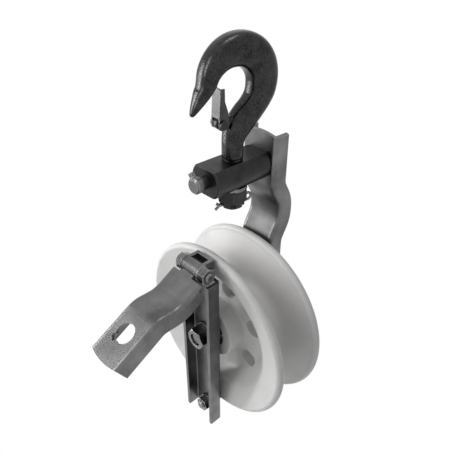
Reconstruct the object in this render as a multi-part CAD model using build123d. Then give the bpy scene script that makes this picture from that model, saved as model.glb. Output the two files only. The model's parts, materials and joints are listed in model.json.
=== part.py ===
from build123d import *
import math
import os

# Stringing block: an openable single-sheave block that hangs from a swivel hook.
# Origin: crown of the hook's bowl, where the block hangs. +Z up, the axle along Y,
# the opening side of the frame towards -Y. Millimetres.

os.makedirs("parts", exist_ok=True)

# ---- sheave ----
sheave_radius = 85.0
rim_round = 4.0  # half the rim's thickness
rim_clear = 1.8  # rim to the frame
floor_radius = 52.0  # bottom of the groove
groove_round = 11.0
lip_rise = 8.0  # bottom of the groove to where the rim's outer face turns into the dish
lip_inset = 2.2  # that turn, in from the middle of the rim
dish_wall = 4.0  # bottom of the groove to the edge of the dish's floor
disc_half = 8.0  # half the thickness of the disc
hub_radius = 26.0
hub_clear = 3.5  # hub to the frame
hub_draft = 1.3  # how much wider the hub is at its root
hub_edge = 1.2
lip_round = 9.0
dish_round = 6.0
hole_wall = 3.5  # lightening hole to the bottom of the groove
hole_radius = 8.5
hole_count = 6
hole_phase = 23.0

# ---- bearings ----
axle_radius = 6.0
race_radius = 16.0
race_width = 10.0
race_wall = 2.6
track_wall = 2.0  # race left under the ball
race_shoulder = 2.5
ball_count = 7
ball_clear = 0.3
clip_thick = 1.2
clip_depth = 1.0  # how far a clip sits in its groove
clip_inset = 1.8  # hub's end face to the clip
clip_width = 3.3
clip_gap = 8.0
sleeve_wall = 2.5

# ---- pressed frame ----
sheet = 3.0
strap_width = 36.0
strap_depth = 15.0
bend_radius = 4.0
frame_half = 28.5  # middle of the sheave to the inner face of arm and cheek
bow = 10.0  # how far the arms bow outwards over the rims
bow_above_rim = 13.0
bow_length = 13.5
bow_run = 17.5  # height of each slope of the bow
bar_above_bow = 40.0
arm_above_bar = 26.0
arm_below_tie = 10.0
slope_outer_bend = 24.0
slope_inner_bend = 20.0
end_arc = 60.0
hole_clear = 0.2

# ---- gate hinge ----
hinge_below_bow = 19.0
flange_below_hinge = 11.0  # hinge's axis to the top of the cheek's flanges
hinge_proud = 0.5  # hinge's axis, out from the middle of the gate's sheet
gate_gap = 0.5  # closed gate's inner face in front of the cheek's
pin_radius = 4.0
barrel_wall = 2.5
barrel_half = 6.4
knuckle_gap = 0.3
fit = 0.05  # radial running clearance of pins and shafts
gate_foot = 9.0  # hinge axis to the end of the gate's web
gate_flange_start = 13.0
gate_open = 120.0

# ---- crosshead ----
bar_radius = 15.0
bar_flat = 21.0  # across the two flats
bar_clear = 0.3
trunnion_radius = 6.0
neck_radius = 5.5
neck_length = 6.0
neck_collar = 0.6
collar_length = 0.9
head_radius = 6.5
head_length = 5.0
key_reach = 3.5
key_width = 4.0
key_length = 3.0
key_angle = 38.0  # from straight up, towards -X
keyhole_radius = 8.5
key_clear = 1.0

# ---- hook ----
shoulder_drop = 67.7  # crown of the bowl to the shoulder that turns on the crosshead
shank_radius = 7.5
hook_turn = 8.0  # hook's plane, turned from the bar's axis about Z
bowl_radius = 14.0
back_radius = 32.0
back_shift = 5.0  # centre of the hook's back, from the centre of the bowl
hook_thick = 18.5
bowl_thinning = 0.044  # per degree past the crown
neck_thick = 15.2
castle_af = 22.0
castle_hex = 11.0
castle_crown = 5.0
castle_slot = 4.0
castle_washer = 2.5
washer_clear = 0.3
shank_tail = 2.0
cotter_radius = 1.5

# inner point, outer point (out from the shank's axis, up from the seat), share of the swell in thickness
neck_stations = [
    ((-6.6, -44.5), (12.0, -49.8), 0.0),
    ((-3.2, -36.5), (17.8, -44.8), 0.0),
    ((2.8, -29.5), (25.0, -37.5), 0.1),
    ((9.2, -24.3), (31.5, -29.3), 0.4),
    ((13.2, -18.8), (35.6, -20.5), 0.8),
]
# the same two points towards the tip, and the thickness as a share of the hook's
tip_stations = [
    ((-20.0, -16.4), (-30.2, -12.9), 0.66),
    ((-25.0, -20.4), (-32.2, -17.4), 0.54),
    ((-29.6, -24.4), (-34.2, -21.8), 0.42),
    ((-33.2, -28.2), (-36.0, -26.4), 0.27),
]

# ---- latch ----
latch_sheet = 1.2
latch_pivot_out = 11.5  # pivot, out from the shank's axis
latch_pivot_drop = 38.0  # pivot, below the seat
latch_top_drop = 12.5
latch_web_out = 13.8
latch_depth = 3.4  # cheeks at the top
latch_round = 5.0
latch_pin_radius = 2.0
rivet_head = 1.2
lug_half = 2.6
lug_inset = 0.6  # lug's edge behind the latch's
spring_wire = 0.3  # radius
spring_space = 1.4  # between lug and latch

# ---- fasteners ----
axle_af = 18.0
axle_nut_height = 10.8
axle_head_height = 7.5
axle_washer = 2.0
axle_washer_radius = 12.0
tie_radius = 4.0
small_af = 13.0
small_nut_height = 6.5
small_head_height = 5.3
small_washer = 1.6
small_washer_radius = 8.0
tie_tube_radius = 6.0
tie_clear = 3.0  # rim to the tie tube
thread_show = 2.0
trunnion_washer = 1.5
trunnion_washer_radius = 10.0
swing_clear = 0.3  # arm to the trunnion's washer
trunnion_clip_radius = 9.5
trunnion_clip_gap = 5.0

# ---- places worked out from the sizes ----
bow_bottom = sheave_radius + bow_above_rim  # heights above the axle
bow_top = bow_bottom + bow_length
bar_height = bow_top + bar_above_bow
arm_top = bar_height + arm_above_bar
hinge_height = bow_bottom - hinge_below_bow
cheek_flange_top = hinge_height - flange_below_hinge
tie_drop = sheave_radius + tie_clear + tie_tube_radius  # depths below the axle
arm_bottom = tie_drop + arm_below_tie
bar_z = -(shoulder_drop + bar_clear + bar_flat / 2)
axle_z = bar_z - bar_height
hinge_z = axle_z + hinge_height
tie_z = axle_z - tie_drop
frame_outer = frame_half + sheet
gate_inner = frame_half + gate_gap
hinge_y = -(gate_inner + bow + sheet / 2 + hinge_proud)
rim_offset = frame_half - rim_clear - rim_round
lip_radius = floor_radius + lip_rise
lip_offset = rim_offset - lip_inset
dish_radius = floor_radius - dish_wall
hub_half = frame_half - hub_clear
hole_circle = floor_radius - hole_wall - hole_radius
hub_bore = race_radius - race_shoulder
ball_radius = (race_radius - axle_radius) / 2 - track_wall
sleeve_radius = axle_radius + sleeve_wall
latch_inner = lug_half + spring_space
barrel_radius = pin_radius + fit + barrel_wall
ear_inner = barrel_half + knuckle_gap
ear_outer = ear_inner + sheet
bar_half_length = frame_half - bar_clear


def along_y(part, y, z, x=0.0):
    """Places a part that was made along +Z so that it runs along +Y from y."""
    return Pos(x, y, z) * Rot(X=-90) * part


def rod(radius, length):
    return Cylinder(radius, length, align=(Align.CENTER, Align.CENTER, Align.MIN))


def ring(outer, inner, length):
    return rod(outer, length) - rod(inner, length)


def hexagon(across_flats, height):
    """Hexagon with the turned bevel of a nut or bolt head on both ends."""
    prism = extrude(RegularPolygon(across_flats / 2, 6, major_radius=False), height)
    corner = across_flats / math.sqrt(3)
    bevel = 0.09 * across_flats
    blank = chamfer(rod(corner, height).edges().filter_by(GeomType.CIRCLE), bevel * 0.58, bevel)
    return prism & blank


def nut(across_flats, height, bore):
    return hexagon(across_flats, height) - rod(bore, height)


def bolt(across_flats, head_height, radius, length):
    """Head below z = 0, shank above it, with a bevelled end."""
    shank = rod(radius, length)
    shank = chamfer(shank.edges().group_by(Axis.Z)[-1], 0.12 * radius)
    return Pos(0, 0, -head_height) * hexagon(across_flats, head_height) + shank


# ---- sheave and bearings ----
def make_sheave():
    """Dished nylon sheave turned from one profile: hub, disc, flared rims and a round groove."""
    centre = floor_radius + groove_round
    rim_mid = sheave_radius - rim_round
    rise = rim_mid - centre
    spread = rim_offset - rim_round
    reach = math.hypot(rise, spread)
    lean = math.atan2(spread, rise) - math.asin(groove_round / reach)
    touch = (centre - groove_round * math.sin(lean), groove_round * math.cos(lean))
    outer = (rim_mid, rim_offset + rim_round)
    inner = (rim_mid, rim_offset - rim_round)
    swing = (math.pi / 2 - lean) / 2
    bottom = (centre - groove_round * math.cos(swing), groove_round * math.sin(swing))
    root = hub_radius + hub_draft
    side = [
        ThreePointArc((floor_radius, 0), bottom, touch),
        Line(touch, inner),
        ThreePointArc(inner, (sheave_radius, rim_offset), outer),
        Polyline(outer, (lip_radius, lip_offset), (dish_radius, disc_half), (root, disc_half),
                 (hub_radius, hub_half), (race_radius, hub_half), (race_radius, race_inner_face()),
                 (hub_bore, race_inner_face()), (hub_bore, 0), (floor_radius, 0)),
    ]
    half = make_face(side)
    for corner, radius in (((lip_radius, lip_offset), lip_round), ((dish_radius, disc_half), dish_round),
                           ((root, disc_half), dish_round / 2), ((hub_radius, hub_half), hub_edge)):
        half = fillet(half.vertices().sort_by_distance((*corner, 0))[0], radius)
    body = revolve(half + mirror(half, about=Plane.XZ), Axis.Y)
    for place in PolarLocations(hole_circle, hole_count, start_angle=hole_phase):
        body -= Rot(X=90) * place * Cylinder(hole_radius, 4 * hub_half)
    groove = ring(race_radius + clip_depth, race_radius - clip_depth, clip_thick)
    for clip_y in (hub_half - clip_inset - clip_thick, clip_inset - hub_half):
        body -= along_y(groove, clip_y, 0)
    return Pos(0, 0, axle_z) * body


def race_outer_face():
    return hub_half - clip_inset - clip_thick


def race_inner_face():
    return race_outer_face() - race_width


def both_ends(part, y):
    """The same ring at both ends of the hub; y is its inner end on the rear side."""
    placed = along_y(part, y, axle_z)
    return Compound(children=[placed, mirror(placed, about=Plane.XZ)])


def ball_track():
    return Pos(0, 0, race_width / 2) * Torus(ball_pitch(), ball_radius + ball_clear)


def ball_pitch():
    return (axle_radius + race_radius) / 2


def make_outer_races():
    track = ball_track()
    return both_ends(ring(race_radius, race_radius - race_wall, race_width) - track, race_inner_face())


def make_inner_races():
    track = ball_track()
    return both_ends(ring(axle_radius + race_wall, axle_radius, race_width) - track, race_inner_face())


def make_balls():
    middle = race_inner_face() + race_width / 2
    balls = []
    for y in (middle, -middle):
        for step in range(ball_count):
            angle = 2 * math.pi * step / ball_count
            place = Pos(ball_pitch() * math.cos(angle), y, axle_z + ball_pitch() * math.sin(angle))
            balls.append(place * Sphere(ball_radius))
    return Compound(children=balls)


def make_clips():
    outer = race_radius + clip_depth - 0.1
    clip = ring(outer, outer - clip_width, clip_thick)
    clip -= Pos(0, race_radius, clip_thick / 2) * Box(clip_gap, clip_gap, clip_thick)
    return both_ends(clip, race_outer_face())


# ---- axle ----
def make_axle_bolt():
    start = frame_outer + axle_washer
    length = start + frame_outer + axle_washer + axle_nut_height - 1.5
    return Pos(0, start, axle_z) * Rot(X=90) * bolt(axle_af, axle_head_height, axle_radius, length)


def make_axle_nut():
    end = frame_outer + axle_washer + axle_nut_height
    return along_y(nut(axle_af, axle_nut_height, axle_radius), -end, axle_z)


def make_axle_washers():
    washer = ring(axle_washer_radius, axle_radius, axle_washer)
    front = along_y(washer, -frame_outer - axle_washer, axle_z)
    rear = along_y(washer, frame_outer, axle_z)
    return Compound(children=[front, rear])


def make_axle_sleeve():
    length = 2 * race_inner_face()
    return along_y(ring(sleeve_radius, axle_radius, length), -length / 2, axle_z)


def make_axle_collars():
    length = frame_half - race_outer_face()
    return both_ends(ring(sleeve_radius, axle_radius, length), race_outer_face())


# ---- pressed frame ----
def strap_section(depth):
    """Pressed channel: web along X at y = 0, flanges towards +Y."""
    outer = Pos(0, depth / 2) * Rectangle(strap_width, depth)
    outer = fillet(outer.vertices().group_by(Axis.Y)[0], bend_radius)
    inner_depth = depth - sheet
    inner = Pos(0, sheet + inner_depth / 2) * Rectangle(strap_width - 2 * sheet, inner_depth)
    inner = fillet(inner.vertices().group_by(Axis.Y)[0], bend_radius - sheet)
    return outer - inner


def round_top(strap):
    """Trims a strap's top end to a shallow arc."""
    top = axle_z + arm_top
    blank = extrude(Pos(0, 0) * Circle(end_arc), 2 * (frame_half + bow + strap_depth), both=True)
    crown = Pos(0, 0, top - end_arc) * Rot(X=90) * blank
    reach = arm_top + arm_bottom
    below = Pos(0, 0, top - end_arc / 2) * Box(
        2 * strap_width, 4 * (frame_half + bow + strap_depth), reach, align=(Align.CENTER, Align.CENTER, Align.MAX))
    return strap & (crown + below)


def bowed_strap(points, bends):
    """Sweeps the channel up a path in the plane x = 0."""
    path = FilletPolyline(*[(0, y, axle_z + z) for y, z in points], radius=bends)
    start_y, start_z = points[0]
    section = Pos(0, start_y, axle_z + start_z) * strap_section(strap_depth)
    return sweep(section, path=path)


def make_rear_arm():
    face = frame_half
    points = [(face, -arm_bottom), (face, bow_bottom - bow_run), (face + bow, bow_bottom),
              (face + bow, bow_top), (face, bow_top + bow_run), (face, arm_top + 1)]
    bends = [slope_outer_bend, slope_inner_bend, slope_inner_bend, slope_outer_bend]
    arm = round_top(bowed_strap(points, bends))
    reach = frame_half + sheet + 1
    arm -= along_y(rod(axle_radius + hole_clear, reach), 0, axle_z)
    arm -= along_y(rod(tie_radius + hole_clear, reach), 0, tie_z)
    arm -= along_y(rod(trunnion_radius + fit, reach), 0, bar_z)
    return arm


def make_front_cheek():
    height = arm_bottom + cheek_flange_top
    cheek = extrude(strap_section(strap_depth - 1), height)
    cheek = Pos(0, frame_half, axle_z - arm_bottom) * cheek
    cheek = mirror(cheek, about=Plane.XZ)
    ear_top = hinge_z + barrel_radius
    ear_foot = axle_z + cheek_flange_top - 4
    ear_plan = Polyline((-frame_half, ear_foot), (-frame_half, ear_top), (hinge_y, ear_top),
                        (hinge_y, hinge_z - barrel_radius), (-frame_outer, ear_foot), close=True)
    ear = extrude(Plane.YZ * make_face(ear_plan), sheet)
    ear += Pos(0, hinge_y, hinge_z) * Rot(Y=90) * rod(barrel_radius, sheet)
    ear -= Pos(0, hinge_y, hinge_z) * Rot(Y=90) * rod(pin_radius, sheet)
    crest_low = axle_z + cheek_flange_top - 1
    crest = Pos(0, -frame_half, crest_low) * Box(
        2 * ear_outer, sheet, ear_top - crest_low, align=(Align.CENTER, Align.MAX, Align.MIN))
    cheek += crest
    for x in (ear_inner, -ear_outer):
        cheek += Pos(x, 0, 0) * ear
    reach = frame_half + sheet + 1
    cheek -= along_y(rod(axle_radius + hole_clear, reach), -reach, axle_z)
    cheek -= along_y(rod(tie_radius + hole_clear, reach), -reach, tie_z)
    return cheek


def make_gate_arm():
    """Gate arm, made shut and then swung open about the hinge."""
    foot = hinge_height + gate_foot
    bowed = gate_inner + bow
    points = [(bowed, foot), (bowed, bow_top), (gate_inner, bow_top + bow_run), (gate_inner, arm_top + 1)]
    arm = round_top(bowed_strap(points, [slope_inner_bend, slope_outer_bend]))
    relief_low = axle_z + foot - 1
    relief_top = hinge_z + gate_flange_start
    relief = Pos(0, bowed + sheet, relief_low) * Box(
        2 * strap_width, strap_depth, relief_top - relief_low, align=(Align.CENTER, Align.MIN, Align.MIN))
    arm -= relief
    arm = mirror(arm, about=Plane.XZ)
    tongue_top = axle_z + foot + 1
    arm += Pos(0, -bowed, hinge_z) * Box(
        2 * barrel_half, sheet, tongue_top - hinge_z, align=(Align.CENTER, Align.MAX, Align.MIN))
    arm += Pos(-barrel_half, hinge_y, hinge_z) * Rot(Y=90) * rod(barrel_radius, 2 * barrel_half)
    arm -= Pos(-barrel_half, hinge_y, hinge_z) * Rot(Y=90) * rod(pin_radius + fit, 2 * barrel_half)
    reach = gate_inner + sheet + 1
    arm -= along_y(rod(keyhole_radius, reach), -reach, bar_z)
    slot_reach = head_radius + key_reach + key_clear
    slot = Box(key_width + 2 * key_clear, reach, slot_reach, align=(Align.CENTER, Align.MIN, Align.MIN))
    arm -= Pos(0, -reach, bar_z) * Rot(Y=-key_angle) * slot
    hinge = Axis((0, hinge_y, hinge_z), (1, 0, 0))
    return arm.rotate(hinge, gate_open)


# ---- gate hinge's fasteners ----
def along_x(part, x):
    return Pos(x, hinge_y, hinge_z) * Rot(Y=90) * part


def make_hinge_bolt():
    start = ear_outer + small_washer
    length = 2 * start + small_nut_height + thread_show
    return along_x(bolt(small_af, small_head_height, pin_radius, length), -start)


def make_hinge_nut():
    return along_x(nut(small_af, small_nut_height, pin_radius), ear_outer + small_washer)


def make_hinge_washers():
    washer = ring(small_washer_radius - 1, pin_radius, small_washer)
    return Compound(children=[along_x(washer, ear_outer), along_x(washer, -ear_outer - small_washer)])


# ---- tie bolt ----
def make_tie_bolt():
    start = frame_outer + small_washer
    length = 2 * start + small_nut_height + thread_show
    return Pos(0, start, tie_z) * Rot(X=90) * bolt(small_af, small_head_height, tie_radius, length)


def make_tie_nut():
    end = frame_outer + small_washer + small_nut_height
    return along_y(nut(small_af, small_nut_height, tie_radius), -end, tie_z)


def make_tie_washers():
    washer = ring(small_washer_radius, tie_radius, small_washer)
    front = along_y(washer, -frame_outer - small_washer, tie_z)
    return Compound(children=[front, along_y(washer, frame_outer, tie_z)])


def make_tie_tube():
    tube = ring(tie_tube_radius, tie_radius + hole_clear, 2 * frame_half)
    return along_y(tube, -frame_half, tie_z)


# ---- crosshead ----
def make_crosshead():
    """Round bar with two flats, bored for the hook's shank, with a trunnion turned on its rear end."""
    bar = rod(bar_radius, 2 * bar_half_length)
    bar = chamfer(bar.edges().filter_by(GeomType.CIRCLE), 1.0)
    bar = along_y(bar, -bar_half_length, bar_z)
    bar &= Pos(0, 0, bar_z) * Box(4 * bar_radius, 4 * bar_half_length, bar_flat)
    trunnion = rod(trunnion_radius, trunnion_end() - bar_half_length)
    trunnion = chamfer(trunnion.edges().group_by(Axis.Z)[-1], 0.8)
    trunnion -= Pos(0, 0, trunnion_clip() - bar_half_length) * ring(
        trunnion_radius + 1, trunnion_radius - clip_depth, clip_thick)
    bar += along_y(trunnion, bar_half_length, bar_z)
    bar -= Pos(0, 0, bar_z) * Cylinder(shank_radius + fit, 2 * bar_radius)
    bar -= along_y(rod(pin_radius, pin_seat()), -bar_half_length, bar_z)
    return bar


def pin_seat():
    return 0.5 * (bar_half_length - shank_radius)


def trunnion_clip():
    return frame_outer + swing_clear + trunnion_washer


def trunnion_end():
    return trunnion_clip() + clip_thick + thread_show


def make_trunnion_washer():
    washer = ring(trunnion_washer_radius, trunnion_radius, trunnion_washer)
    return along_y(washer, frame_outer + swing_clear, bar_z)


def make_trunnion_clip():
    radius = trunnion_clip_radius
    clip = ring(radius, trunnion_radius - clip_depth, clip_thick)
    clip -= Pos(0, -radius, clip_thick / 2) * Box(trunnion_clip_gap, 2 * radius, clip_thick)
    return along_y(clip, trunnion_clip(), bar_z)


def make_lock_pin():
    """Turned lock pin in the bar's front end; its key passes the gate's notch and then bars the way."""
    pin = rod(pin_radius, pin_seat())
    neck = rod(neck_radius, neck_length)
    head = rod(head_radius, head_length)
    head = chamfer(head.edges().group_by(Axis.Z)[-1], 1.2)
    collar = Pos(0, 0, neck_length - collar_length) * rod(neck_radius + neck_collar, collar_length)
    key = Box(key_width, head_radius + key_reach, key_length, align=(Align.CENTER, Align.MIN, Align.MIN))
    outside = neck + collar + Pos(0, 0, neck_length) * (head + Rot(Z=key_angle) * key)
    body = outside + Rot(X=180) * pin
    return Pos(0, -bar_half_length, bar_z) * Rot(X=90) * body


# ---- hook ----
def hook_frame(part):
    """Turns a part made in the hook's own plane, x out along the plane and z up, into place."""
    return Rot(Z=90 - hook_turn) * part


def bar_top():
    return bar_z + bar_flat / 2


def washer_low():
    return bar_z - bar_flat / 2 - washer_clear - castle_washer


def castle_low():
    return washer_low() - castle_hex - castle_crown


def hook_section(inner, outer, thick):
    """Rounded section of the forging between a point on its inner and one on its outer edge."""
    run = Vector(outer[0] - inner[0], 0, outer[1] - inner[1])
    middle = ((inner[0] + outer[0]) / 2, 0, (inner[1] + outer[1]) / 2)
    width = run.length
    plane = Plane(origin=middle, x_dir=run, z_dir=Vector(0, 1, 0).cross(run))
    corner = min(width, thick) * 0.42
    return plane * RectangleRounded(width, thick, corner)


def bowl_station(angle):
    """Inner and outer edge of the bowl at an angle round its centre."""
    direction = (math.cos(math.radians(angle)), math.sin(math.radians(angle)))
    centre = (0.0, -bowl_radius)
    along = back_shift * (direction[0] + direction[1])
    reach = along + math.sqrt(along**2 + back_radius**2 - 2 * back_shift**2)
    inner = (centre[0] + bowl_radius * direction[0], centre[1] + bowl_radius * direction[1])
    outer = (centre[0] + reach * direction[0], centre[1] + reach * direction[1])
    return inner, outer


def make_hook():
    """Forged swivel hook: lofted from the round shank through the neck and the bowl to the tip."""
    base = bar_top() + bar_clear
    r = shank_radius
    round_thick = 2 * shank_radius
    rise = (neck_stations[0][0][1] + neck_stations[0][1][1]) / 2 - base
    stations = [
        ((-r, base), (r, base), round_thick),
        ((-r, base + 0.365 * rise), (r, base + 0.365 * rise), round_thick),
        ((-r, base + 0.73 * rise), (r + 0.8, base + 0.657 * rise), round_thick),
    ]
    for inner, outer, swell in neck_stations:
        stations.append((inner, outer, neck_thick + swell * (hook_thick - neck_thick)))
    for angle in range(10, 171, 20):
        inner, outer = bowl_station(angle)
        stations.append((inner, outer, hook_thick - bowl_thinning * max(0, angle - 90)))
    for inner, outer, share in tip_stations:
        stations.append((inner, outer, share * hook_thick))
    hook = loft([hook_section(*station) for station in stations])
    shank = Pos(0, 0, castle_low() - shank_tail) * rod(shank_radius, base - castle_low() + shank_tail)
    shank = chamfer(shank.edges().group_by(Axis.Z)[0], 1.2)
    hook += shank
    lug_round = latch_round - lug_inset
    lug = Rot(X=90) * extrude(Circle(lug_round), lug_half, both=True)
    web = Box(latch_pivot_out, 2 * lug_half, 2 * lug_round, align=(Align.MIN, Align.CENTER, Align.CENTER))
    hook += Pos(-latch_pivot_out, 0, -latch_pivot_drop) * (lug + web)
    hook -= Pos(-latch_pivot_out, 0, -latch_pivot_drop) * Rot(X=90) * Cylinder(latch_pin_radius, 4 * lug_half)
    hook -= Pos(0, 0, cotter_z()) * Rot(Y=90) * Cylinder(cotter_radius + 0.2, 4 * shank_radius)
    return hook_frame(hook)


def cotter_z():
    return castle_low() + castle_crown / 2


def make_thrust_washer():
    return Pos(0, 0, washer_low()) * ring(castle_af / 2 + 1, shank_radius, castle_washer)


def make_castle_nut():
    """Slotted nut: hexagon on top, crown with six slots below."""
    crown = rod(castle_af / 2 - 1, castle_crown)
    crown = chamfer(crown.edges().group_by(Axis.Z)[0], 0.8)
    for turn in range(3):
        slot = Rot(Z=60 * turn) * Box(2 * castle_af, castle_slot, castle_crown - 1)
        crown -= Pos(0, 0, (castle_crown - 1) / 2) * slot
    body = crown + Pos(0, 0, castle_crown) * hexagon(castle_af, castle_hex)
    body -= rod(shank_radius, castle_crown + castle_hex)
    return hook_frame(Pos(0, 0, castle_low()) * body)


def make_split_pin():
    """Split pin through the slots: an eye at one end, the legs bent back at the other."""
    half = castle_af / 2 - 1
    leg = rod(cotter_radius, 2 * half + 4.5)
    leg = Pos(-half - 2, 0, 0) * Rot(Y=90) * leg
    eye = Pos(half + 2.5 + 2 * cotter_radius, 0, 0) * Rot(X=90) * Torus(2 * cotter_radius, 0.75 * cotter_radius)
    bent = Pos(-half - 2, 0, 0) * Rot(Y=-55) * rod(0.75 * cotter_radius, 3.4 * cotter_radius)
    pin = leg + eye + bent + mirror(bent, about=Plane.XY)
    return hook_frame(Pos(0, 0, cotter_z()) * pin)


# ---- latch ----
def latch_place(part):
    return hook_frame(Pos(-latch_pivot_out, 0, -latch_pivot_drop) * part)


def make_latch():
    """Pressed safety latch: a web on the throat side and two cheeks astride the neck."""
    out = latch_web_out - latch_pivot_out
    top = latch_pivot_drop - latch_top_drop
    outline = Polyline((-out - latch_sheet, 4), (-out, top), (-out + latch_depth, top),
                       (-out + latch_depth + 0.2, 0.65 * top), (latch_round - 1, 0.35 * top),
                       (latch_round, 0), (0, -latch_round), (-out - latch_sheet, -3), close=True)
    side = fillet(make_face(outline).vertices().group_by(Axis.Y)[0], 2.0)
    half = latch_inner + latch_sheet
    blank = extrude(Plane.XZ * side, half, both=True)
    keep = Box(4 * top, 2 * latch_inner, 4 * top)
    hollow = blank & keep
    web_band = Polyline((-out - latch_sheet - 1, 4.5), (-out - 1, top + 1), (-out + latch_sheet, top + 1),
                        (-out, 4.5), close=True)
    web = extrude(Plane.XZ * make_face(web_band), half, both=True)
    latch = (blank - hollow) + (hollow & web)
    latch -= Rot(X=90) * Cylinder(latch_pin_radius + fit, 4 * half)
    return latch_place(latch)


def make_latch_rivet():
    half = latch_inner + latch_sheet + knuckle_gap
    head = Pos(0, 0, half) * rod(1.7 * latch_pin_radius, rivet_head)
    pin = Cylinder(latch_pin_radius, 2 * half) + head + mirror(head, about=Plane.XY)
    return latch_place(Rot(X=90) * pin)


def make_latch_spring():
    """Two coils round the rivet, one each side of the lug."""
    gap = latch_inner - lug_half
    coils = []
    for side in (1, -1):
        coil = Torus(latch_pin_radius + 0.5 + spring_wire, spring_wire)
        for step in (-1, 1):
            offset = side * (lug_half + gap / 2) + step * spring_wire * 1.02
            coils.append(latch_place(Pos(0, offset, 0) * Rot(X=90) * coil))
    return Compound(children=coils)


pieces = {
    "hook": make_hook,
    "thrust_washer": make_thrust_washer,
    "castle_nut": make_castle_nut,
    "split_pin": make_split_pin,
    "latch": make_latch,
    "latch_rivet": make_latch_rivet,
    "latch_spring": make_latch_spring,
    "crosshead": make_crosshead,
    "lock_pin": make_lock_pin,
    "trunnion_washer": make_trunnion_washer,
    "trunnion_clip": make_trunnion_clip,
    "rear_arm": make_rear_arm,
    "front_cheek": make_front_cheek,
    "gate_arm": make_gate_arm,
    "hinge_bolt": make_hinge_bolt,
    "hinge_nut": make_hinge_nut,
    "hinge_washers": make_hinge_washers,
    "sheave": make_sheave,
    "bearing_outer_races": make_outer_races,
    "bearing_inner_races": make_inner_races,
    "bearing_balls": make_balls,
    "bearing_clips": make_clips,
    "axle_bolt": make_axle_bolt,
    "axle_nut": make_axle_nut,
    "axle_washers": make_axle_washers,
    "axle_sleeve": make_axle_sleeve,
    "axle_collars": make_axle_collars,
    "tie_bolt": make_tie_bolt,
    "tie_nut": make_tie_nut,
    "tie_washers": make_tie_washers,
    "tie_tube": make_tie_tube,
}

for name, make in pieces.items():
    export_step(make(), f"parts/{name}.step")
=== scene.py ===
import json
import math

import bmesh
import bpy
from mathutils import Matrix, Vector


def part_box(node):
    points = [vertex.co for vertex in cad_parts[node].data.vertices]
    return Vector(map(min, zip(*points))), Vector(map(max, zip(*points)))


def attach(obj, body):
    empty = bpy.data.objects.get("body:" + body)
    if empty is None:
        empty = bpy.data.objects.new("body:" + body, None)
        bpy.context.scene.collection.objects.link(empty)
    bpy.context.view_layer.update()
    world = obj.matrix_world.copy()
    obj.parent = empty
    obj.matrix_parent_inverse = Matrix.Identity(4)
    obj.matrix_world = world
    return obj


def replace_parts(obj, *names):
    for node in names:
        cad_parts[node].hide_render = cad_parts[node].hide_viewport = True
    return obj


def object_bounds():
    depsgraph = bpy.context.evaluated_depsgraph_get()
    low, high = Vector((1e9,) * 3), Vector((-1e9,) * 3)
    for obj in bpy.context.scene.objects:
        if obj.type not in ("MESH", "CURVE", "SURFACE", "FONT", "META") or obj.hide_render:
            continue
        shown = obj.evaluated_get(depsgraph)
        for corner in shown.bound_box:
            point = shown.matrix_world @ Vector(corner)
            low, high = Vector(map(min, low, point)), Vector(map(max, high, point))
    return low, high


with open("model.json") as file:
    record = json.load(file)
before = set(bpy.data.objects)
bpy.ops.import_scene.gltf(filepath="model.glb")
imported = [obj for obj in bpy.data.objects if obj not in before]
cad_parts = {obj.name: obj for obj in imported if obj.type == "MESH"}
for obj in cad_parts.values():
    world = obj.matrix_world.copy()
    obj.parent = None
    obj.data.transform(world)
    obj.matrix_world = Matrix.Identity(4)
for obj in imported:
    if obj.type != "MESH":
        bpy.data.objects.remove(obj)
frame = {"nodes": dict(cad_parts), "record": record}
cad_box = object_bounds()
nodes = frame["nodes"]
joints = {joint["name"]: joint for joint in frame["record"]["behaviour"]["joints"]}
mm = 0.001
AXLE = Vector(joints["sheave_spin"]["pos_m"])

# ------------------------------------------------------------------ node trees


def add(tree, kind, values=None, links=None, **settings):
    """A shader node with its settings, socket values and incoming links."""
    node = tree.nodes.new("ShaderNode" + kind)
    for name, value in settings.items():
        setattr(node, name, value)
    for name, value in (values or {}).items():
        node.inputs[name].default_value = value
    for name, source in (links or {}).items():
        tree.links.new(source, node.inputs[name])
    return node


def grey(tone, warmth=0.0):
    return (tone * (1 + warmth), tone, tone * (1 - warmth), 1.0)


def level(tree, mask, low, high):
    """A value that runs from low to high with the mask."""
    return add(tree, "MapRange", {"To Min": low, "To Max": high}, {"Value": mask}).outputs[0]


def mix_colour(tree, mask, low, high):
    """Mixes two colours by a mask; each may be a colour or a socket."""
    node = add(tree, "Mix", data_type="RGBA")
    tree.links.new(mask, node.inputs["Factor"])
    for socket, value in ((node.inputs[6], low), (node.inputs[7], high)):
        if isinstance(value, bpy.types.NodeSocket):
            tree.links.new(value, socket)
        else:
            socket.default_value = value
    return node.outputs[2]


def new_group(name, inputs, output):
    """An empty node group; returns it with its input sockets and its one output socket."""
    group = bpy.data.node_groups.new(name, "ShaderNodeTree")
    for socket, kind, default in inputs:
        item = group.interface.new_socket(socket, in_out="INPUT", socket_type="NodeSocket" + kind)
        if default is not None:
            item.default_value = default
    group.interface.new_socket(output[0], in_out="OUTPUT", socket_type="NodeSocket" + output[1])
    entry = group.nodes.new("NodeGroupInput")
    leave = group.nodes.new("NodeGroupOutput")
    return group, entry.outputs, leave.inputs[0]


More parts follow.
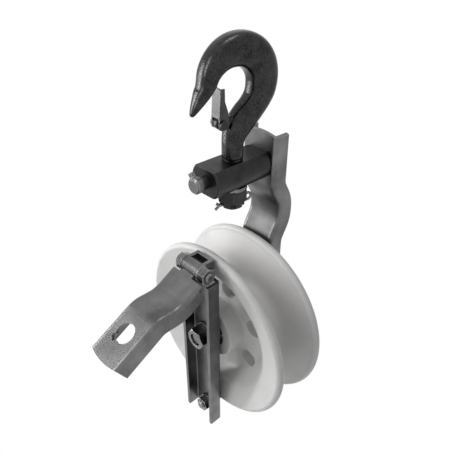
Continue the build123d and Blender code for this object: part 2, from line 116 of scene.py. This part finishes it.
def mottle_group():
    """Cloudy patches broken by fine speckle, as a mask from 0 to 1."""
    group, enter, leave = new_group(
        "mottle",
        [("Vector", "Vector", None), ("Patches", "Float", 60.0), ("Specks", "Float", 900.0),
         ("Speck share", "Float", 0.3)],
        ("Mask", "Float"))
    patches = add(group, "TexNoise", {"Detail": 4.0, "Roughness": 0.6},
                  {"Vector": enter["Vector"], "Scale": enter["Patches"]})
    specks = add(group, "TexNoise", {"Detail": 2.0}, {"Vector": enter["Vector"], "Scale": enter["Specks"]})
    both = add(group, "Mix",
               links={"Factor": enter["Speck share"], "A": patches.outputs[0], "B": specks.outputs[0]})
    spread = add(group, "MapRange", {"From Min": 0.32, "From Max": 0.68}, {"Value": both.outputs[0]})
    group.links.new(spread.outputs[0], leave)
    return group


def edge_group():
    """Outer edges as a mask, from the angle between the rounded and the true normal, broken by noise."""
    group, enter, leave = new_group(
        "rubbed_edges", [("Vector", "Vector", None), ("Width", "Float", 0.0006), ("Grain", "Float", 500.0)],
        ("Mask", "Float"))
    rounded = add(group, "Bevel", links={"Radius": enter["Width"]}, samples=4)
    shape = add(group, "NewGeometry")
    turn = add(group, "VectorMath", links={0: rounded.outputs[0], 1: shape.outputs["Normal"]},
               operation="DOT_PRODUCT")
    noise = add(group, "TexNoise", {"Detail": 3.0}, {"Vector": enter["Vector"], "Scale": enter["Grain"]})
    limit = add(group, "MapRange", {"To Min": 0.99, "To Max": 0.90}, {"Value": noise.outputs[0]})
    mask = add(group, "MapRange", {"To Min": 1.0, "To Max": 0.0},
               {"Value": turn.outputs["Value"], "From Min": limit.outputs[0]}, clamp=True)
    mask.inputs["From Max"].default_value = 1.0
    group.links.new(mask.outputs[0], leave)
    return group


def rings_group():
    """Turning marks round an axis through Centre: noise of the radius and the place along it."""
    group, enter, leave = new_group(
        "turned_rings",
        [("Vector", "Vector", None), ("Centre", "Vector", (0.0, 0.0, 0.0)),
         ("Across", "Vector", (1.0, 0.0, 1.0)), ("Pitch", "Float", 1500.0)],
        ("Height", "Float"))
    moved = add(group, "VectorMath", links={0: enter["Vector"], 1: enter["Centre"]}, operation="SUBTRACT")
    across = add(group, "VectorMath", links={0: moved.outputs[0], 1: enter["Across"]}, operation="MULTIPLY")
    radius = add(group, "VectorMath", links={0: across.outputs[0]}, operation="LENGTH")
    along = add(group, "VectorMath", links={0: moved.outputs[0], 1: across.outputs[0]}, operation="SUBTRACT")
    run = add(group, "VectorMath", links={0: along.outputs[0]}, operation="LENGTH")
    place = add(group, "CombineXYZ", links={"X": radius.outputs["Value"], "Y": run.outputs["Value"]})
    noise = add(group, "TexNoise", {"Detail": 3.0}, {"Vector": place.outputs[0], "Scale": enter["Pitch"]})
    group.links.new(noise.outputs[0], leave)
    return group


def drawn_group():
    """Fine lines left by rolling and pressing: noise stretched along one axis."""
    group, enter, leave = new_group(
        "drawn_lines",
        [("Vector", "Vector", None), ("Scale", "Vector", (900.0, 900.0, 40.0))],
        ("Height", "Float"))
    scaled = add(group, "VectorMath", links={0: enter["Vector"], 1: enter["Scale"]}, operation="MULTIPLY")
    noise = add(group, "TexNoise", {"Scale": 1.0, "Detail": 3.0}, {"Vector": scaled.outputs[0]})
    group.links.new(noise.outputs[0], leave)
    return group


EFFECTS = {"mottle": mottle_group(), "edges": edge_group(), "rings": rings_group(), "drawn": drawn_group()}


class Finish:
    """A material being built round one Principled shader."""

    def __init__(self, name, metallic, round_edges):
        self.material = bpy.data.materials.new(name)
        self.material.use_nodes = True
        self.tree = self.material.node_tree
        self.tree.nodes.clear()
        out = add(self.tree, "OutputMaterial")
        self.shader = add(self.tree, "BsdfPrincipled", {"Metallic": metallic})
        self.tree.links.new(self.shader.outputs[0], out.inputs[0])
        self.place = add(self.tree, "TexCoord").outputs["Object"]
        self.normal = add(self.tree, "Bevel", {"Radius": round_edges}, samples=6).outputs[0]

    def effect(self, name, **values):
        node = self.tree.nodes.new("ShaderNodeGroup")
        node.node_tree = EFFECTS[name]
        for socket, value in values.items():
            node.inputs[socket.replace("_", " ")].default_value = value
        self.tree.links.new(self.place, node.inputs["Vector"])
        return node.outputs[0]

    def noise(self, scale, detail=4.0, rough=0.6):
        return add(self.tree, "TexNoise", {"Scale": scale, "Detail": detail, "Roughness": rough},
                   {"Vector": self.place}).outputs[0]

    def colour(self, socket):
        self.tree.links.new(socket, self.shader.inputs["Base Color"])

    def roughness(self, mask, low, high):
        self.tree.links.new(level(self.tree, mask, low, high), self.shader.inputs["Roughness"])

    def bump(self, height, strength, depth):
        node = add(self.tree, "Bump", {"Strength": strength, "Distance": depth},
                   {"Height": height, "Normal": self.normal})
        self.normal = node.outputs[0]

    def done(self):
        self.tree.links.new(self.normal, self.shader.inputs["Normal"])
        return self.material


# ------------------------------------------------------------------ finishes


def zinc(name, tone, dull, rough, lines=(900.0, 900.0, 40.0)):
    """Zinc plating: cloudy satin, brighter where it is rubbed at the edges."""
    make = Finish(name, 1.0, 0.5 * mm)
    cloud = make.effect("mottle", Patches=35.0, Specks=700.0, Speck_share=0.12)
    edges = make.effect("edges", Width=0.5 * mm)
    plate = mix_colour(make.tree, cloud, grey(dull), grey(tone))
    make.colour(mix_colour(make.tree, edges, plate, grey(min(0.95, tone * 1.35))))
    make.roughness(cloud, rough + 0.05, rough)
    make.bump(make.effect("drawn", Scale=lines), 0.08, 0.02 * mm)
    make.bump(make.noise(60.0, 2.0), 0.15, 0.6 * mm)
    return make.done()


def forged_steel():
    """Hot-dip galvanised drop forging: dark and grainy, lighter and glossier in cloudy patches."""
    make = Finish("forged_steel", 1.0, 0.8 * mm)
    cloud = make.effect("mottle", Patches=110.0, Specks=1100.0, Speck_share=0.55)
    make.colour(mix_colour(make.tree, cloud, grey(0.010), grey(0.060)))
    make.roughness(cloud, 0.34, 0.17)
    make.bump(make.noise(140.0, 2.0), 0.2, 0.5 * mm)
    make.bump(make.noise(500.0, 4.0, 0.6), 0.25, 0.2 * mm)
    return make.done()


def turned_steel(name, tone, dull, rough, centre, across):
    """Plain machined steel with its tool marks."""
    make = Finish(name, 1.0, 0.35 * mm)
    cloud = make.effect("mottle", Patches=50.0, Specks=1500.0, Speck_share=0.35)
    edges = make.effect("edges", Width=0.5 * mm)
    bare = mix_colour(make.tree, cloud, grey(dull), grey(tone))
    make.colour(mix_colour(make.tree, edges, bare, grey(min(0.9, tone * 2.0))))
    make.roughness(cloud, rough + 0.14, rough)
    make.bump(make.effect("rings", Centre=centre, Across=across, Pitch=1800.0), 0.35, 0.04 * mm)
    return make.done()


def cast_nylon():
    """Natural cast nylon, turned: satin, with fine tool rings."""
    make = Finish("cast_nylon", 0.0, 0.6 * mm)
    make.shader.inputs["Subsurface Weight"].default_value = 0.15
    make.shader.inputs["Subsurface Radius"].default_value = (3 * mm, 3 * mm, 3 * mm)
    make.shader.inputs["Subsurface Scale"].default_value = 1.0
    cloud = make.effect("mottle", Patches=25.0, Specks=500.0, Speck_share=0.25)
    make.colour(mix_colour(make.tree, cloud, grey(0.62, 0.008), grey(0.71, 0.008)))
    make.roughness(cloud, 0.5, 0.36)
    make.bump(make.effect("rings", Centre=AXLE, Across=(1.0, 0.0, 1.0), Pitch=900.0), 0.16, 0.08 * mm)
    make.bump(make.noise(90.0, 3.0), 0.12, 0.5 * mm)
    return make.done()


bar_place = joints["crosshead_swing"]["pos_m"]
plate = zinc("zinc_plate", 0.20, 0.09, 0.3)
dark_plate = zinc("dark_plate", 0.10, 0.04, 0.3)
nut_zinc = zinc("zinc_nut", 0.30, 0.09, 0.2, (300.0, 300.0, 300.0))
forged = forged_steel()
nylon = cast_nylon()
bar_steel = turned_steel("bar_steel", 0.045, 0.018, 0.26, bar_place, (1.0, 0.0, 1.0))
dark_steel = turned_steel("dark_steel", 0.05, 0.02, 0.28, AXLE, (1.0, 0.0, 1.0))
pin_steel = turned_steel("pin_steel", 0.22, 0.08, 0.24, bar_place, (1.0, 0.0, 1.0))
spring_steel = turned_steel("spring_steel", 0.14, 0.07, 0.3, AXLE, (1.0, 1.0, 1.0))
ground_steel = turned_steel("ground_steel", 0.6, 0.5, 0.12, AXLE, (1.0, 0.0, 1.0))

FINISHES = {
    plate: ["rear_arm", "front_cheek", "gate_arm", "tie_tube"],
    dark_plate: ["latch"],
    nut_zinc: ["thrust_washer", "split_pin", "trunnion_washer", "hinge_nut", "hinge_washers",
               "axle_bolt", "axle_nut", "axle_washers", "axle_sleeve", "axle_collars", "tie_bolt", "tie_nut",
               "tie_washers"],
    forged: ["hook"],
    nylon: ["sheave"],
    bar_steel: ["crosshead"],
    dark_steel: ["castle_nut", "latch_rivet", "hinge_bolt"],
    pin_steel: ["lock_pin"],
    spring_steel: ["latch_spring", "trunnion_clip", "bearing_clips"],
    ground_steel: ["bearing_outer_races", "bearing_inner_races", "bearing_balls"],
}


def assign_finishes():
    for finish, names in FINISHES.items():
        for name in names:
            mesh = nodes[name].data
            mesh.materials.clear()
            mesh.materials.append(finish)


# ------------------------------------------------------------------ the hook

SHANK_RADIUS = 7.5
HOOK_TURN = math.radians(82)  # hook's plane, from the X axis
SEAT_CENTRE = (0.0, -14.0)  # centre of the bowl, out from the shank and up from the seat
SEAT_RADIUS = 14.0
BACK_RADIUS = 32.0
BACK_SHIFT = 5.0  # the back's centre, out and up from the bowl's
BOWL_THICKNESS = 18.5
SHOULDER = -67.7
LUG_OUT, LUG_DROP, LUG_RADIUS, LUG_WIDTH = -11.5, -38.0, 4.4, 5.2
LUG_WEB = (-7.0, 9.0)  # middle and length of the web that joins the lug to the neck
TIP_RADIUS = 1.9
# inner edge, outer edge and thickness of the forging, from the shank round the neck
NECK = [
    ((-7.5, -67.7), (7.5, -67.7), 15.0), ((-7.5, -60.2), (7.5, -60.2), 15.0),
    ((-7.5, -52.7), (8.3, -54.2), 15.0), ((-6.6, -44.5), (12.0, -49.8), 15.2),
    ((-3.2, -36.5), (17.8, -44.8), 15.2), ((2.8, -29.5), (25.0, -37.5), 15.6),
    ((9.2, -24.3), (31.5, -29.3), 16.6), ((13.2, -18.8), (35.6, -20.5), 17.8),
]
TIP = [
    ((-20.2, -16.0), (-30.4, -12.8), 13.2), ((-24.2, -20.4), (-32.2, -17.4), 10.6),
    ((-28.6, -24.6), (-33.9, -21.9), 8.0), ((-32.6, -28.4), (-35.3, -26.2), 5.0),
]


def bowl_station(degrees):
    """Edges and thickness of the bowl; past its top it opens, deepens and thins towards the tip."""
    turn = math.radians(degrees)
    way = Vector((math.cos(turn), math.sin(turn)))
    past = max(0.0, (degrees - 90) / 90)
    along = BACK_SHIFT * (way.x + way.y)
    back = along + math.sqrt(along ** 2 + BACK_RADIUS ** 2 - 2 * BACK_SHIFT ** 2) + 1.5 * past
    inner = Vector(SEAT_CENTRE) + way * (SEAT_RADIUS + 3.4 * past ** 1.5)
    return inner, Vector(SEAT_CENTRE) + way * back, BOWL_THICKNESS - 4.0 * past


def curve_through(points, steps):
    """Catmull-Rom curve through a list of number lists."""
    ends = [points[0]] + points + [points[-1]]
    result = []
    for before, start, end, after in zip(ends, ends[1:], ends[2:], ends[3:]):
        for step in range(steps):
            t = step / steps
            result.append([0.5 * (2 * s + (e - b) * t + (2 * b - 5 * s + 4 * e - a) * t ** 2
                                  + (3 * s - b - 3 * e + a) * t ** 3)
                           for b, s, e, a in zip(before, start, end, after)])
    return result + [points[-1]]


def hook_ring(inner_x, inner_z, outer_x, outer_z, thick, count=40):
    """Points round one section of the forging, a rectangle with well rounded corners."""
    inner, outer = Vector((inner_x, inner_z)), Vector((outer_x, outer_z))
    middle, run = (inner + outer) / 2, outer - inner
    power = 2 / 2.9
    ring = []
    for step in range(count):
        turn = 2 * math.pi * step / count
        across, side = (math.copysign(abs(v) ** power, v) for v in (math.cos(turn), math.sin(turn)))
        place = middle + run * (across / 2)
        ring.append(Vector((place.x, side * thick / 2, place.y)) * mm)
    return ring


def add_tube(shape, rings):
    """Joins rings of points into a closed tube."""
    loops = [[shape.verts.new(point) for point in ring] for ring in rings]
    for low, high in zip(loops, loops[1:]):
        for a, b, c, d in zip(low, low[1:] + low[:1], high[1:] + high[:1], high):
            shape.faces.new((a, b, c, d))
    shape.faces.new(list(reversed(loops[0])))
    shape.faces.new(loops[-1])


def new_piece(name, shape, finish, body):
    """Makes an object of a bmesh, shades it smooth and lets it ride."""
    bmesh.ops.recalc_face_normals(shape, faces=shape.faces)
    mesh = bpy.data.meshes.new(name)
    shape.to_mesh(mesh)
    shape.free()
    mesh.shade_smooth()
    mesh.materials.append(finish)
    piece = bpy.data.objects.new(name, mesh)
    bpy.context.scene.collection.objects.link(piece)
    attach(piece, body)
    return piece


def apply_modifiers(piece):
    """Keeps the shape that the modifiers give, and drops them."""
    graph = bpy.context.evaluated_depsgraph_get()
    mesh = bpy.data.meshes.new_from_object(piece.evaluated_get(graph))
    piece.modifiers.clear()
    piece.data = mesh


def forge_hook():
    """One forging: shank, neck, bowl and tip, with the latch's lug on the neck."""
    stations = NECK + [bowl_station(turn) for turn in range(10, 171, 20)] + TIP
    flat = [[*inner, *outer, thick] for inner, outer, thick in stations]
    shape = bmesh.new()
    add_tube(shape, [hook_ring(*station) for station in curve_through(flat, 5)])
    tip = (Vector(TIP[-1][0]) + Vector(TIP[-1][1])) / 2
    ball = Matrix.Translation(Vector((tip.x, 0, tip.y)) * mm) @ Matrix.Diagonal((1, 1.15, 1, 1))
    bmesh.ops.create_uvsphere(shape, u_segments=24, v_segments=12, radius=TIP_RADIUS * mm, matrix=ball)
    lug = Matrix.Translation(Vector((LUG_OUT, 0, LUG_DROP)) * mm) @ Matrix.Rotation(math.pi / 2, 4, "X")
    bmesh.ops.create_cone(shape, cap_ends=True, segments=32, radius1=LUG_RADIUS * mm, radius2=LUG_RADIUS * mm,
                          depth=LUG_WIDTH * mm, matrix=lug)
    middle, length = LUG_WEB
    web = (Matrix.Translation(Vector((middle, 0, LUG_DROP)) * mm)
           @ Matrix.Diagonal((length, LUG_WIDTH, 2 * LUG_RADIUS, 1.0)))
    bmesh.ops.create_cube(shape, size=mm, matrix=web)
    bmesh.ops.transform(shape, matrix=Matrix.Rotation(HOOK_TURN, 4, "Z"), verts=shape.verts)
    hook = new_piece("hook_forging", shape, forged, "hook")
    remesh = hook.modifiers.new("weld", "REMESH")
    remesh.mode = "VOXEL"
    remesh.voxel_size = 0.6 * mm
    remesh.use_smooth_shade = True
    soften = hook.modifiers.new("soften", "SMOOTH")
    soften.factor = 0.5
    soften.iterations = 6
    apply_modifiers(hook)
    return hook


# ------------------------------------------------------------------ bolts


# thread's outer diameter: pitch, width of the hexagon across its flats and height of the head
METRIC = {8.0: (1.25, 13.0, 5.3), 12.0: (1.75, 18.0, 7.5)}
# bolt: diameter, length of its thread and the way it points, from its head
BOLTS = {
    "axle_bolt": (12.0, 26.0, (0, -1, 0)),
    "tie_bolt": (8.0, 20.0, (0, -1, 0)),
    "hinge_bolt": (8.0, 10.0, (1, 0, 0)),
}
SHANK_THREAD = (18.0, 1.75)  # length and pitch


def ring_at(place, reaches, height):
    """Points round an axis, one for each reach in millimetres."""
    ring = []
    for step, reach in enumerate(reaches):
        angle = 2 * math.pi * step / len(reaches)
        ring.append(place @ (Vector((reach * math.cos(angle), reach * math.sin(angle), height)) * mm))
    return ring


def threaded_rod(shape, radius, length, thread, pitch, place):
    """A rod along +Z with a rolled thread over its last stretch and a bevelled end."""
    around, per_pitch = 32, 8
    depth = 0.54 * pitch
    plain = length - thread
    bevel_start = length - 0.7 * pitch
    rings = [ring_at(place, [radius] * around, along) for along in (0.0, plain / 2)]
    rows = int(thread / pitch * per_pitch)
    for row in range(rows + 1):
        along = plain + thread * row / rows
        bevel = max(0.0, along - bevel_start)
        reaches = []
        for step in range(around):
            wave = abs(2 * ((along / pitch - step / around) % 1.0) - 1)
            cut = depth * min(1.0, max(0.0, 1.15 * wave - 0.1))
            reaches.append(max(0.3 * radius, radius - max(cut, bevel)))
        rings.append(ring_at(place, reaches, along))
    add_tube(shape, rings)


def hexagon_head(shape, across_flats, height, place):
    """Hexagon below z = 0 whose outer corners fall away in the usual cone."""
    steps, layers = 48, 6
    sectors = [(2 * math.pi * step / steps) % (math.pi / 3) - math.pi / 6 for step in range(steps)]
    flats = [across_flats / 2 / math.cos(sector) for sector in sectors]
    rings = []
    for layer in range(layers + 1):
        down = height * (1 - layer / layers)
        cone = across_flats * 0.475 + (height - down) * 1.7
        rings.append(ring_at(place, [min(flat, cone) for flat in flats], -down))
    add_tube(shape, rings)


def make_bolts():
    """Replaces each plain bolt by one with its thread and a bevelled head."""
    for node, (diameter, thread, way) in BOLTS.items():
        pitch, across_flats, head = METRIC[diameter]
        way = Vector(way)
        low, high = (Vector(corner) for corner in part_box(node))
        whole = abs((high - low).dot(way))
        seat = (low + high) / 2 - way * (whole / 2 - head * mm)
        place = Matrix.Translation(seat) @ way.to_track_quat("Z", "X").to_matrix().to_4x4()
        shape = bmesh.new()
        threaded_rod(shape, diameter / 2, whole / mm - head, thread, pitch, place)
        hexagon_head(shape, across_flats, head, place)
        piece = new_piece(node + "_threaded", shape, nut_zinc, "frame")
        piece.data.set_sharp_from_angle(angle=math.radians(35))
        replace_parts(piece, node)


def make_hook_end():
    """The hook's shank inside the crosshead and its thread below the castle nut."""
    thread, pitch = SHANK_THREAD
    low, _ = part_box("hook")
    top = SHOULDER + 1.0
    place = Matrix.Translation((0, 0, top * mm)) @ Matrix.Rotation(math.pi, 4, "X")
    shape = bmesh.new()
    threaded_rod(shape, SHANK_RADIUS, top - low[2] / mm, thread, pitch, place)
    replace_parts(new_piece("hook_shank", shape, dark_steel, "hook"), "hook")


# ------------------------------------------------------------------ camera and light


def place_camera():
    azimuth, elevation, roll = (math.radians(turn) for turn in (46.99, 32.62, 0.15))
    aim = Vector((0.0, -4.8, -128.4)) * mm
    distance = 390.7 * mm
    back = Vector((math.sin(azimuth) * math.cos(elevation), -math.cos(azimuth) * math.cos(elevation),
                   math.sin(elevation)))
    right = Vector((math.cos(azimuth), math.sin(azimuth), 0.0))
    turned = Matrix((right, back.cross(right), back)).transposed().to_4x4()
    data = bpy.data.cameras.new("camera")
    data.lens = 37.6
    data.clip_start = 0.01
    camera = bpy.data.objects.new("camera", data)
    camera.matrix_world = Matrix.Translation(aim + back * distance) @ turned @ Matrix.Rotation(roll, 4, "Z")
    bpy.context.scene.collection.objects.link(camera)
    bpy.context.scene.camera = camera


def area_lamp(name, place, aim, size, power):
    data = bpy.data.lights.new(name, "AREA")
    data.shape = "RECTANGLE"
    data.size, data.size_y = size
    data.energy = power
    lamp = bpy.data.objects.new(name, data)
    lamp.location = place
    lamp.rotation_euler = (Vector(aim) - Vector(place)).to_track_quat("-Z", "Y").to_euler()
    bpy.context.scene.collection.objects.link(lamp)


def seen_white(tree, plain):
    """A plain shader, shown as white to the camera and in reflections."""
    white = add(tree, "Emission", {"Color": grey(1.0), "Strength": 1.0})
    path = add(tree, "LightPath")
    seen = add(tree, "Math", links={0: path.outputs["Is Camera Ray"], 1: path.outputs["Is Glossy Ray"]},
               operation="MAXIMUM")
    seen = add(tree, "Math", links={0: seen.outputs[0], 1: path.outputs["Is Transmission Ray"]},
               operation="MAXIMUM")
    return add(tree, "MixShader", links={0: seen.outputs[0], 1: plain.outputs[0], 2: white.outputs[0]})


def lay_floor():
    """A plain pale floor, well below the hanging block."""
    drop, half = 60 * mm, 1.5
    height = cad_box[0][2] - drop
    mesh = bpy.data.meshes.new("floor")
    shape = bmesh.new()
    corners = [shape.verts.new((x * half, y * half, height)) for x, y in ((-1, -1), (1, -1), (1, 1), (-1, 1))]
    shape.faces.new(corners)
    shape.to_mesh(mesh)
    shape.free()
    material = bpy.data.materials.new("pale_floor")
    material.use_nodes = True
    tree = material.node_tree
    tree.nodes.clear()
    paint = add(tree, "BsdfDiffuse", {"Color": grey(0.8)})
    out = add(tree, "OutputMaterial")
    tree.links.new(seen_white(tree, paint).outputs[0], out.inputs[0])
    mesh.materials.append(material)
    floor = bpy.data.objects.new("floor", mesh)
    bpy.context.scene.collection.objects.link(floor)


def light_room():
    """Soft studio light: a pale room, a key lamp in front, a top lamp and a narrow strip on the left."""
    world = bpy.data.worlds.new("room")
    bpy.context.scene.world = world
    world.use_nodes = True
    tree = world.node_tree
    tree.nodes.clear()
    room = add(tree, "Background", {"Color": grey(0.26), "Strength": 1.0})
    out = add(tree, "OutputWorld")
    tree.links.new(seen_white(tree, room).outputs[0], out.inputs[0])
    middle = (0.0, 0.0, -0.15)
    area_lamp("key", (-0.3, -0.95, 0.4), middle, (0.45, 0.7), 5.5)
    area_lamp("top", (0.1, 0.1, 0.95), middle, (0.4, 0.4), 2.5)
    area_lamp("strip", (-0.82, -0.5, -0.08), middle, (0.12, 0.8), 5.0)


assign_finishes()
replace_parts(forge_hook(), "hook")
make_hook_end()
make_bolts()
place_camera()
lay_floor()
light_room()
bpy.context.scene.view_settings.view_transform = "Standard"
